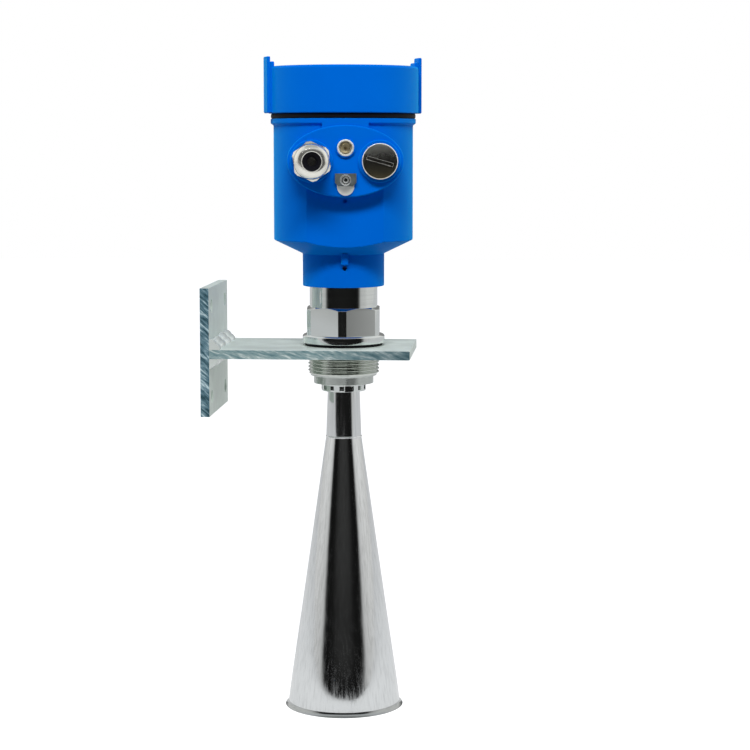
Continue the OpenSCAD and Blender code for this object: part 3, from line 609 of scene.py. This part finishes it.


# --- Horn antenna -------------------------------------------------------------------------------------
# Lock ring with windows, slim socket, and the long cone rolled from thin stainless sheet and polished
# along its length.  It swells a little above the mouth, which is flared over into a small, slightly rougher lip
# whose darker colour is painted shade.
ring_low, ring_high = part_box("lock_ring")
ring_z, ring_top = ring_low.z / mm, ring_high.z / mm
ring_r, socket_r = 14.9, 10.8
windows, window_r, window_half = 14, 12.7, 1.5
lock_ring = turned("lock_ring_steel", [
    (socket_r + 0.1, ring_z), (ring_r, ring_z), (ring_r, ring_top - 0.8), (ring_r + 1, ring_top - 0.8),
    (ring_r + 1, ring_top), (socket_r + 0.1, ring_top)], ease=0.15, steps=112)
for i in range(windows):
    cutter = plain_box("cutter", (window_r * mm, -window_half * mm, (ring_z + 1.1) * mm),
                       (17 * mm, window_half * mm, (ring_z + 3.9) * mm))
    place_by(cutter, Matrix.Rotation(2 * math.pi * i / windows - math.pi / 2, 4, "Z"))
    join_shape(lock_ring, cutter, "DIFFERENCE")
finished(lock_ring, turned_steel, "root", "polished_stainless", "lock_ring", smooth=25)

horn_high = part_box("horn")[1]
horn_h = horn_high.z / mm
mouth_r = horn_high.x / mm
throat_r, sheet_t, guide_r = 11.9, 0.9, 8.7
drawn_steel = polished("drawn_steel", (0.77, 0.785, 0.78), 0.04, 0.11, (5, 5, 0.12), 160, 0.03)
socket_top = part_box("horn_socket")[1].z / mm
socket = turned("horn_socket_steel", [
    (guide_r, horn_h), (throat_r, horn_h), (socket_r, ring_z), (socket_r, socket_top), (guide_r, socket_top)],
    ease=0.2)
finished(socket, drawn_steel, "root", "polished_stainless", "horn_socket")

lip_flare, lip_h = 2.2, 3.1
outside = [(mouth_r - lip_flare * (1 - (1 - t) ** 2), lip_h * t) for t in (0, 0.15, 0.3, 0.5, 0.75, 1)]
wall = [(r - sheet_t, z) for r, z in reversed(outside)]
cone_low, cone_high = (mouth_r - lip_flare, lip_h), (throat_r + 0.14, horn_h - 1.2)
belly_h, belly_slope = 58.0, 0.025
for z in (6, 9, 12, 16, 20, 25, 31, 38, 46, 54, 62):
    u = (z - lip_h) / belly_h
    swelling = belly_slope * belly_h * u * (1 - u) ** 2 if u < 1 else 0
    share = (z - lip_h) / (cone_high[1] - lip_h)
    outside.append((cone_low[0] + share * (cone_high[0] - cone_low[0]) + swelling, z))
weld_line = [cone_high, (throat_r + 0.35, horn_h - 0.7), (throat_r + 0.3, horn_h - 0.35), (throat_r, horn_h)]
horn = turned("horn_sheet", outside + weld_line + [(throat_r - sheet_t, horn_h)] + wall, ease=0, steps=256)
# Painted shade: the lip takes a darker copy of the drawn steel, in place of a dimmer reflection.
shaded_lip_steel = polished("shaded_lip_steel", (0.46, 0.475, 0.465), 0.12, 0.22, (1, 1, 3), 160, 0.03)
edge_paint(horn, drawn_steel, shaded_lip_steel, lambda face: face.center.z < lip_h * mm)
finished(horn, drawn_steel, "root", "polished_stainless", "horn")


# --- Housing ------------------------------------------------------------------------------------------
# One blue moulding: neck, cone, round body with a flat down its front, collar and the spout for the lid.
# The oval boss carries the two cable entries, and a web joins it to the collar.
head_out = Vector(joints["gland_nut_turn"]["axis"])
head_turn = math.atan2(head_out.x, -head_out.y)
turn_head = Matrix.Rotation(head_turn, 4, "Z")
entry_z = joints["gland_nut_turn"]["pos_m"][2] / mm
port_x = 22.0


def on_front(x, z, out=0.0):
    """Frame whose Z points out of the housing's front, at a place given in the housing's own axes."""
    return (turn_head @ Matrix.Translation((x * mm, 0, z * mm)) @ Matrix.Rotation(math.pi / 2, 4, "X")
            @ Matrix.Translation((0, 0, out * mm)))


blue_plastic, tree, shader = surface_finish("blue_plastic", (0.0, 0.115, 0.60), 0.38)
shader.inputs["Specular IOR Level"].default_value = 0.02
shader.inputs["Specular Tint"].default_value = (0.05, 0.75, 1.0, 1)
shader.inputs["Sheen Weight"].default_value = 0.7
shader.inputs["Sheen Roughness"].default_value = 0.5
shader.inputs["Sheen Tint"].default_value = (0.0, 0.50, 1.0, 1)
speckled(tree, shader, (1, 1, 1), 1500, 3, 0.10, 0.36, 0.46)
clouds = grain(tree, (1, 1, 1), 14, 2, 0.0)
tree.links.new(ramp(tree, clouds.outputs["Mask"], (0.3, (0.0, 0.11, 0.57)), (0.7, (0.0, 0.125, 0.63))),
               shader.inputs["Base Color"])

neck_l, cone_l, body_l, collar_l = 21.7, 9.2, 75.7, 4.4
cone_z = neck_z + neck_l
body_z = cone_z + cone_l
collar_z = body_z + body_l
rim_z = collar_z + collar_l
spout_z = housing_high.z / mm
neck_r, body_r, collar_r, spout_r = 27.3, 46.4, 48.3, 44.9
flat_half = 25
flat_y = math.sqrt(body_r ** 2 - flat_half ** 2)
housing = turned("housing_moulding", [
    (0, neck_z), (neck_r, neck_z), (neck_r, cone_z), (body_r, body_z), (body_r, collar_z),
    (collar_r, collar_z + 1.3), (collar_r, rim_z), (spout_r, rim_z), (spout_r, spout_z), (0, spout_z)],
    ease=0.5, steps=192)
shave = plain_box("shave", (-60 * mm, -80 * mm, (cone_z + 1) * mm), (60 * mm, -flat_y * mm, entry_z * mm))
place_by(shave, turn_head)
join_shape(housing, shave, "DIFFERENCE")

oval_a, oval_b, oval_y, root_l = 37.7, 23.2, 50.0, 30
boss = cylinder("boss", 1, 0, root_l, 96)
place_by(boss, on_front(0, entry_z, oval_y - root_l) @ Matrix.Diagonal((oval_a, oval_b, 1, 1)))
ease_edges(boss, 1.1, 3, 60)
join_shape(housing, boss)
web_half = 15
web = plain_box("web", (-web_half * mm, -collar_r * mm, entry_z * mm),
                (web_half * mm, -34 * mm, (rim_z - 1) * mm))
place_by(web, turn_head)
join_shape(housing, web)
port_r, port_l = 13.7, 2.4
for side in (-1, 1):
    port = cylinder("port", port_r, 0, root_l, 96)
    place_by(port, on_front(side * port_x, entry_z, oval_y + port_l - root_l))
    ease_edges(port, 0.8, 3, 60)
    join_shape(housing, port)
vent_z = entry_z + 8.6
vent_ring_r, vent_ring_l, vent_root_l = 6.3, 1.6, 20
vent_ring = cylinder("vent_ring", vent_ring_r, 0, vent_root_l, 64)
place_by(vent_ring, on_front(0, vent_z, oval_y + vent_ring_l - vent_root_l))
ease_edges(vent_ring, 0.4, 2, 60)
join_shape(housing, vent_ring)
hole_z = entry_z - oval_b - 2.8
earth_z = entry_z - 11.9
screw_z = neck_z + neck_l * 0.6
rib_half, rib_out = 2.2, 3.4
rib = plain_box("rib", (-rib_half * mm, -(neck_r + rib_out) * mm, (screw_z + 2.5) * mm),
                (rib_half * mm, -24 * mm, (screw_z + 10) * mm))
place_by(rib, turn_head)
ease_edges(rib, 0.4, 2, 60)
join_shape(housing, rib)
play, ledge_z, ring_seat_r, shelf_r, inner_r, wall_t = 0.08, neck_z + 25.95, 25.2, 36, 42, 3.6
chamber = turned("chamber", [
    (0, neck_z - 1), (tube_r + play, neck_z - 1), (tube_r + play, seat_z + 0.05),
    (stub_r + play, seat_z + 0.05), (stub_r + play, ledge_z), (ring_seat_r, ledge_z),
    (ring_seat_r, neck_z + 28.6), (shelf_r, body_z + 3), (shelf_r, body_z + 8), (inner_r, body_z + 8),
    (inner_r, spout_z + 1), (0, spout_z + 1)],
    ease=0.2, steps=128)
shave = plain_box("shave", (-60 * mm, -80 * mm, (body_z + 7) * mm),
                  (60 * mm, (wall_t - flat_y) * mm, entry_z * mm))
place_by(shave, turn_head)
join_shape(chamber, shave, "DIFFERENCE")
join_shape(housing, chamber, "DIFFERENCE")
for x, z, start, end, radius in (
    (-port_x, entry_z, 30, 60, 10.1),
    (port_x, entry_z, 30, 60, 10.1),
    (0, vent_z, 42, 60, 5.55),
    (0, earth_z, 43, 60, 3.65),
    (0, hole_z, 36.7, 60, 1.35),
    (0, screw_z, 15, 40, 1.55),
):
    drill = cylinder("drill", radius, 0, end - start, 64)
    place_by(drill, on_front(x, z, start))
    join_shape(housing, drill, "DIFFERENCE")
finished(housing, blue_plastic, "head", "blue_plastic", "housing", smooth=28)


# --- Lid ----------------------------------------------------------------------------------------------
# Blue screw lid moulded in one piece, with two lugs that a bar can turn, over a black ring seal.
lid_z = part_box("lid")[0].z / mm
lid_top = lid_z + 30.7
lid_r, lid_round, lid_inner_r, lid_t = 50.0, 2, 45.3, 3.2
lug_r, lug_half = 53.1, 5.5
lid_edge = [(lid_r - lid_round + lid_round * math.sin(math.radians(a)),
             lid_top - lid_round + lid_round * math.cos(math.radians(a))) for a in range(0, 91, 15)]
lid = turned("lid_moulding", [(0, lid_top)] + lid_edge + [
    (lid_r, lid_z + 0.5), (lid_r - 0.5, lid_z), (lid_inner_r, lid_z), (lid_inner_r, lid_top - lid_t),
    (0, lid_top - lid_t)], ease=0, steps=192)
for side in (0, math.pi):
    for inner, outer, top in ((lid_r - 2, lug_r - 2.3, lid_top + 3), (lug_r - 2.4, lug_r, lid_top + 6.3)):
        lug = plain_box("lug", (inner * mm, -lug_half * mm, (lid_z + 0.01) * mm),
                        (outer * mm, lug_half * mm, top * mm))
        place_by(lug, Matrix.Rotation(math.radians(20) + side, 4, "Z"))
        ease_edges(lug, 0.9, 3, 60)
        join_shape(lid, lug)
finished(lid, blue_plastic, "lid", "blue_plastic", "lid", smooth=28)

seal_low, seal_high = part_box("lid_seal")
seal_z, seal_top = seal_low.z / mm, seal_high.z / mm
lid_seal = turned("lid_seal_ring", [
    (lid_inner_r, seal_z), (47.6, seal_z), (48.1, seal_z + 0.8), (48.1, seal_top - 0.8), (47.6, seal_top),
    (lid_inner_r, seal_top)], ease=0.3)
finished(lid_seal, rubber, "lid_lift_ring", "black_rubber", "lid_seal")


# --- Cable gland --------------------------------------------------------------------------------------
# Nickel-plated brass: a body screwed into the housing, a dome nut in front, and a black rubber seal inside.
nickel = polished("nickel_plate", (0.88, 0.87, 0.79), 0.18, 0.28, (1, 1, 1), 160, 0.03, metal=0.9)
gland_oring_t = 1.4
gland_seat = oval_y + port_l + gland_oring_t
gland_af, gland_hex_h, nut_l = 22.8, 4.6, 14.6
entry_thread_l, entry_thread_r, nut_bore_r, mouth_bore_r = 12.4, 10, 8.9, 6.2
gland_body = cylinder("gland_body_nickel", corner_r(gland_af), 0, gland_hex_h, 6)
lathe = turned("lathe", [(0, -0.1), (12.0, -0.1), (12.8, 0.5), (12.8, gland_hex_h - 0.5),
                         (12.0, gland_hex_h + 0.1), (0, gland_hex_h + 0.1)], ease=0.1, steps=96)
join_shape(gland_body, lathe, "INTERSECT")
place_by(gland_body, Matrix.Rotation(math.radians(12), 4, "Z"))
ease_edges(gland_body, 0.2, 2, 25)
neck = turned("gland_neck", [
    (6, -entry_thread_l), (entry_thread_r, -entry_thread_l), (entry_thread_r, 0.1), (8.7, 0.1),
    (8.7, gland_hex_h + 8.5), (6, gland_hex_h + 8.5)], ease=0.2, steps=96)
join_shape(gland_body, neck)
place_by(gland_body, on_front(-port_x, entry_z, gland_seat))
finished(gland_body, nickel, "head", "nickel_brass", "gland_body", smooth=25)

gland_ring = turned("gland_oring_ring", [
    (10.1, 0), (11.2, 0), (11.6, 0.4), (11.6, 1.0), (11.2, gland_oring_t), (10.1, gland_oring_t)],
    ease=0.2, steps=96)
place_by(gland_ring, on_front(-port_x, entry_z, gland_seat - gland_oring_t))
finished(gland_ring, rubber, "head", "black_rubber", "gland_oring")

nut_start = gland_seat + gland_hex_h + 0.5
gland_nut = cylinder("gland_nut_nickel", corner_r(gland_af), 0, 8, 6)
lathe = turned("lathe", [(0, -0.1), (12.2, -0.1), (12.9, 0.5), (12.9, 6.6), (11.4, 8.1), (0, 8.1)],
               ease=0.1, steps=96)
join_shape(gland_nut, lathe, "INTERSECT")
place_by(gland_nut, Matrix.Rotation(math.radians(4), 4, "Z"))
ease_edges(gland_nut, 0.2, 2, 25)
crown_r = 5.1
crown = [(mouth_bore_r + crown_r * math.sin(math.radians(a)),
          nut_l - crown_r + crown_r * math.cos(math.radians(a))) for a in range(90, 7, -9)]
dome = turned("dome", [(nut_bore_r, 0.2), (mouth_bore_r + crown_r, 0.2)] + crown + [
    (6.6, nut_l), (mouth_bore_r, nut_l - 0.3), (mouth_bore_r, nut_l - 2.4), (nut_bore_r, nut_l - 2.4)],
    ease=0, steps=128)
bore = cylinder("bore", nut_bore_r, -1, 10, 96)
join_shape(gland_nut, bore, "DIFFERENCE")
join_shape(gland_nut, dome)
place_by(gland_nut, on_front(-port_x, entry_z, nut_start))
finished(gland_nut, nickel, "gland_nut", "nickel_brass", "gland_nut", smooth=25)

seal_start = nut_start + nut_l * 0.55 + 0.4
seal_length = nut_start + nut_l - 0.6 - seal_start
gland_seal = turned("gland_seal_rubber", [
    (2.9, 0), (6.4, 0), (6.4, seal_length), (5.6, seal_length), (3.6, seal_length - 1.6),
    (2.9, seal_length - 2.2)], ease=0.15, steps=96)
place_by(gland_seal, on_front(-port_x, entry_z, seal_start))
finished(gland_seal, rubber, "gland_insert", "black_rubber", "gland_seal")


# --- Blind plug ---------------------------------------------------------------------------------------
# Nickel-plated plug, polished on its face, with a screwdriver slot that stops short of the rim.  Its face is
# coloured with painted light, brownish at the bottom and lighter towards the top, and the rim and the slot's eased
# edges carry a painted highlight.
mirror_nickel, tree, shader = surface_finish("mirror_nickel", (0.66, 0.64, 0.56), 0.2, 1.0)
scuffs = grain(tree, (1, 1, 2.5), 260, 3, 0.012)
plug_r, plug_t, slot_half, slot_width_half, slot_z = 11.6, 2.2, 8.8, 1.1, 1.3
# Painted light: the face's colour and gloss run from brownish and glossy at the bottom to light grey and duller at
# the top, over real scuffs.
painted_light_rise = node(tree, "ShaderNodeMapRange", Value=object_place(tree)["Z"], From_Min=(entry_z - 11) * mm,
            From_Max=(entry_z + 11) * mm, To_Min=-0.10, To_Max=0.75)
scuffs_and_painted_light = maths(tree, "MULTIPLY_ADD", scuffs.outputs["Mask"], 0.35, painted_light_rise.outputs[0])
tree.links.new(ramp(tree, scuffs_and_painted_light, (0.10, 0.24), (0.45, 0.16), (0.62, 0.24), (0.92, 0.44)),
               shader.inputs["Roughness"])
tree.links.new(ramp(tree, scuffs_and_painted_light, (0.10, (0.86, 0.74, 0.44)), (0.50, (0.60, 0.60, 0.54)),
                    (0.90, (0.70, 0.72, 0.66))), shader.inputs["Base Color"])
tree.links.new(scuffs.outputs["Normal"], shader.inputs["Normal"])
plug = turned("blind_plug_nickel", [
    (0, -entry_thread_l), (entry_thread_r, -entry_thread_l), (entry_thread_r, 0), (11.2, 0), (plug_r, 0.4),
    (plug_r, 1.7), (11.1, plug_t), (0, plug_t)], ease=0.15, steps=128)
slot = plain_box("slot", (-slot_half * mm, -slot_width_half * mm, slot_z * mm),
                 (slot_half * mm, slot_width_half * mm, 4 * mm))
place_by(slot, Matrix.Rotation(math.radians(-16), 4, "Z"))
join_shape(plug, slot, "DIFFERENCE")
ease_edges(plug, 0.3, 2, 50)
# Painted highlight: a near-white copy of the nickel, on the plug's eased edges and rim.
painted_highlight_edge = polished("painted_highlight_edge", (0.95, 0.95, 0.90), 0.25, 0.35, (1, 1, 1), 300, 0.02, metal=0.45)
edge_paint(plug, mirror_nickel, painted_highlight_edge,
           lambda face: 0.12 < face.normal.z < 0.97 and face.center.z > 1.2 * mm)
place_by(plug, on_front(port_x, entry_z, gland_seat))
finished(plug, mirror_nickel, "blind_plug", "nickel_brass", "blind_plug", smooth=25)


# --- Vent and earth terminal --------------------------------------------------------------------------
# Small turned fittings on the boss: the vent's sleeve and screw, and the earth clamp with its socket screw.
sleeve = turned("vent_sleeve_nickel", [
    (3.3, 0), (5.5, 0), (5.5, 9.4), (5.1, 9.9), (4.6, 9.9), (4.2, 9.5), (4.2, 6.4), (3.3, 6.4)],
    ease=0.12, steps=96)
place_by(sleeve, on_front(0, vent_z, oval_y - 7.5))
# The sleeve takes the same painted highlight, as a bright ring round the vent screw.
finished(sleeve, painted_highlight_edge, "head", "nickel_brass", "vent_sleeve")


def socket_screw(name, outline, socket_r, socket_z, ease):
    """A round-headed screw with a hexagon socket, standing on its Z axis with the head's foot at 0."""
    made = turned(name, outline, ease=ease, steps=64)
    head_top = outline[-1][1]
    key = cylinder("key", socket_r, socket_z, head_top + 1, 6)
    join_shape(made, key, "DIFFERENCE")
    return made


brass = polished("worn_brass", (0.86, 0.72, 0.44), 0.24, 0.38, (1, 1, 1), 300, 0.06, metal=0.9)
vent_screw = socket_screw("vent_screw_nickel", [
    (0, -4), (2.5, -4), (2.5, 0), (3.2, 0), (3.2, 4), (0, 4)], 1.2, 1.8, 0.25)
place_by(vent_screw, on_front(0, vent_z, oval_y - 1.6))
finished(vent_screw, brass, "head", "nickel_brass", "vent_screw")

small_steel = polished("small_steel", (0.25, 0.29, 0.30), 0.28, 0.40, (1, 1, 1), 220, 0.04, metal=0.7)
screw_steel = polished("screw_steel", (0.80, 0.83, 0.81), 0.20, 0.32, (1, 1, 1), 220, 0.04, metal=0.8)
white_zinc = surface_finish("white_zinc", (0.82, 0.83, 0.80), 0.5, 0.4)[0]
tongue_r, tongue_l = 5.5, 4.6
tongue = plain_box("earth_plate_steel", (-tongue_r * mm, -tongue_l * mm, 0), (tongue_r * mm, 3.6 * mm, mm))
disc = cylinder("disc", tongue_r, 0, 1, 64)
place_by(disc, Matrix.Translation((0, -tongue_l * mm, 0)))
join_shape(tongue, disc)
ease_edges(tongue, 0.2, 2, 40)
place_by(tongue, on_front(0, earth_z, oval_y))
finished(tongue, white_zinc, "head", "small_steel", "earth_plate")

clamp_x, clamp_y, snip_half, lip_x = 6.9, 4.15, 1.6, 6.4
clamp = plain_box("earth_clamp_steel", (-clamp_x * mm, -clamp_y * mm, 0),
                  (clamp_x * mm, clamp_y * mm, 1.5 * mm))
for side in (-1, 1):
    snip = plain_box("snip", (-snip_half * mm, -snip_half * mm, -mm),
                     (snip_half * mm, snip_half * mm, 4 * mm))
    place_by(snip, Matrix.Translation((side * clamp_x * mm, -clamp_y * mm, 0))
             @ Matrix.Rotation(math.pi / 4, 4, "Z"))
    join_shape(clamp, snip, "DIFFERENCE")
    lip = plain_box("lip", ((side * lip_x - 0.5) * mm, -1.4 * mm, 0.1 * mm),
                    ((side * lip_x + 0.5) * mm, 4.1 * mm, 2.4 * mm))
    join_shape(clamp, lip)
ease_edges(clamp, 0.15, 2, 40)
# Painted highlight: the clamp's side faces take the bright screw steel, lighter than its front.
edge_paint(clamp, small_steel, screw_steel, lambda face: abs(face.normal.z) < 0.9)
place_by(clamp, on_front(0, earth_z, oval_y + 1.05))
finished(clamp, small_steel, "earth_clamp", "small_steel", "earth_clamp", smooth=25)

washer = turned("earth_washer_steel", [(2.1, 0), (3.7, 0), (3.7, 0.8), (2.1, 0.8)], ease=0.15, steps=64)
place_by(washer, on_front(0, earth_z, oval_y + 2.6))
finished(washer, screw_steel, "earth_clamp", "small_steel", "earth_washer")

earth_screw = socket_screw("earth_screw_steel", [
    (0, -9.4), (2, -9.4), (2, 0), (3.3, 0), (3.3, 3), (2.6, 3), (2.5, 2.4), (2.1, 2.4), (2, 3), (0, 3)],
    1.25, 1.4, 0.12)
groove_r = 2.65
# Painted shade: the groove and socket in the screw head are coloured near black, for the shade inside them.
groove_shade_steel = polished("groove_shade_steel", (0.05, 0.06, 0.06), 0.3, 0.4, (1, 1, 1), 220, 0.02, metal=0.3)
edge_paint(earth_screw, screw_steel, groove_shade_steel,
           lambda face: 0.5 * mm < face.center.z < 2.9 * mm
           and math.hypot(face.center.x, face.center.y) < groove_r * mm)
place_by(earth_screw, on_front(0, earth_z, oval_y + 3.45))
finished(earth_screw, screw_steel, "earth_screw", "small_steel", "earth_screw")


# --- Pieces kept as they are in the solids ------------------------------------------------------------
# Inner pieces and small parts whose true shape is already there: each gets its material.
black_moulding, tree, shader = surface_finish("black_moulding", (0.010, 0.010, 0.012), 0.45)
shader.inputs["Specular IOR Level"].default_value = 0.2
speckled(tree, shader, (1, 1, 1), 1200, 2, 0.08, 0.38, 0.55)
grey_moulding, tree, shader = surface_finish("grey_moulding", (0.33, 0.35, 0.36), 0.45)
speckled(tree, shader, (1, 1, 1), 1200, 2, 0.08, 0.38, 0.55)
# Painted shade: the neck's set screw, deep in its hole, is coloured dark blue for the shaded blue recess.
painted_recess_shade = surface_finish("painted_recess_shade", (0.02, 0.08, 0.26), 0.5, 0.3)[0]
feed_plastic, tree, shader = surface_finish("feed_plastic", (0.80, 0.80, 0.76), 0.35)
speckled(tree, shader, (1, 1, 4), 500, 2, 0.05, 0.28, 0.42)

for finish, names in (
    (black_moulding, ("electronics_cup", "gland_claw")),
    (grey_moulding, ("terminal_block",)),
    (feed_plastic, ("feed_cone",)),
    (rubber, ("swivel_oring", "plug_oring")),
    (nickel, ("terminal_screws", "earth_bush")),
    (small_steel, ("snap_ring", "cup_screws", "inner_earth_terminal")),
    (painted_recess_shade, ("neck_set_screw",)),
):
    for name in names:
        kept = frame["nodes"][name]
        kept.data.materials.clear()
        kept.data.materials.append(finish)
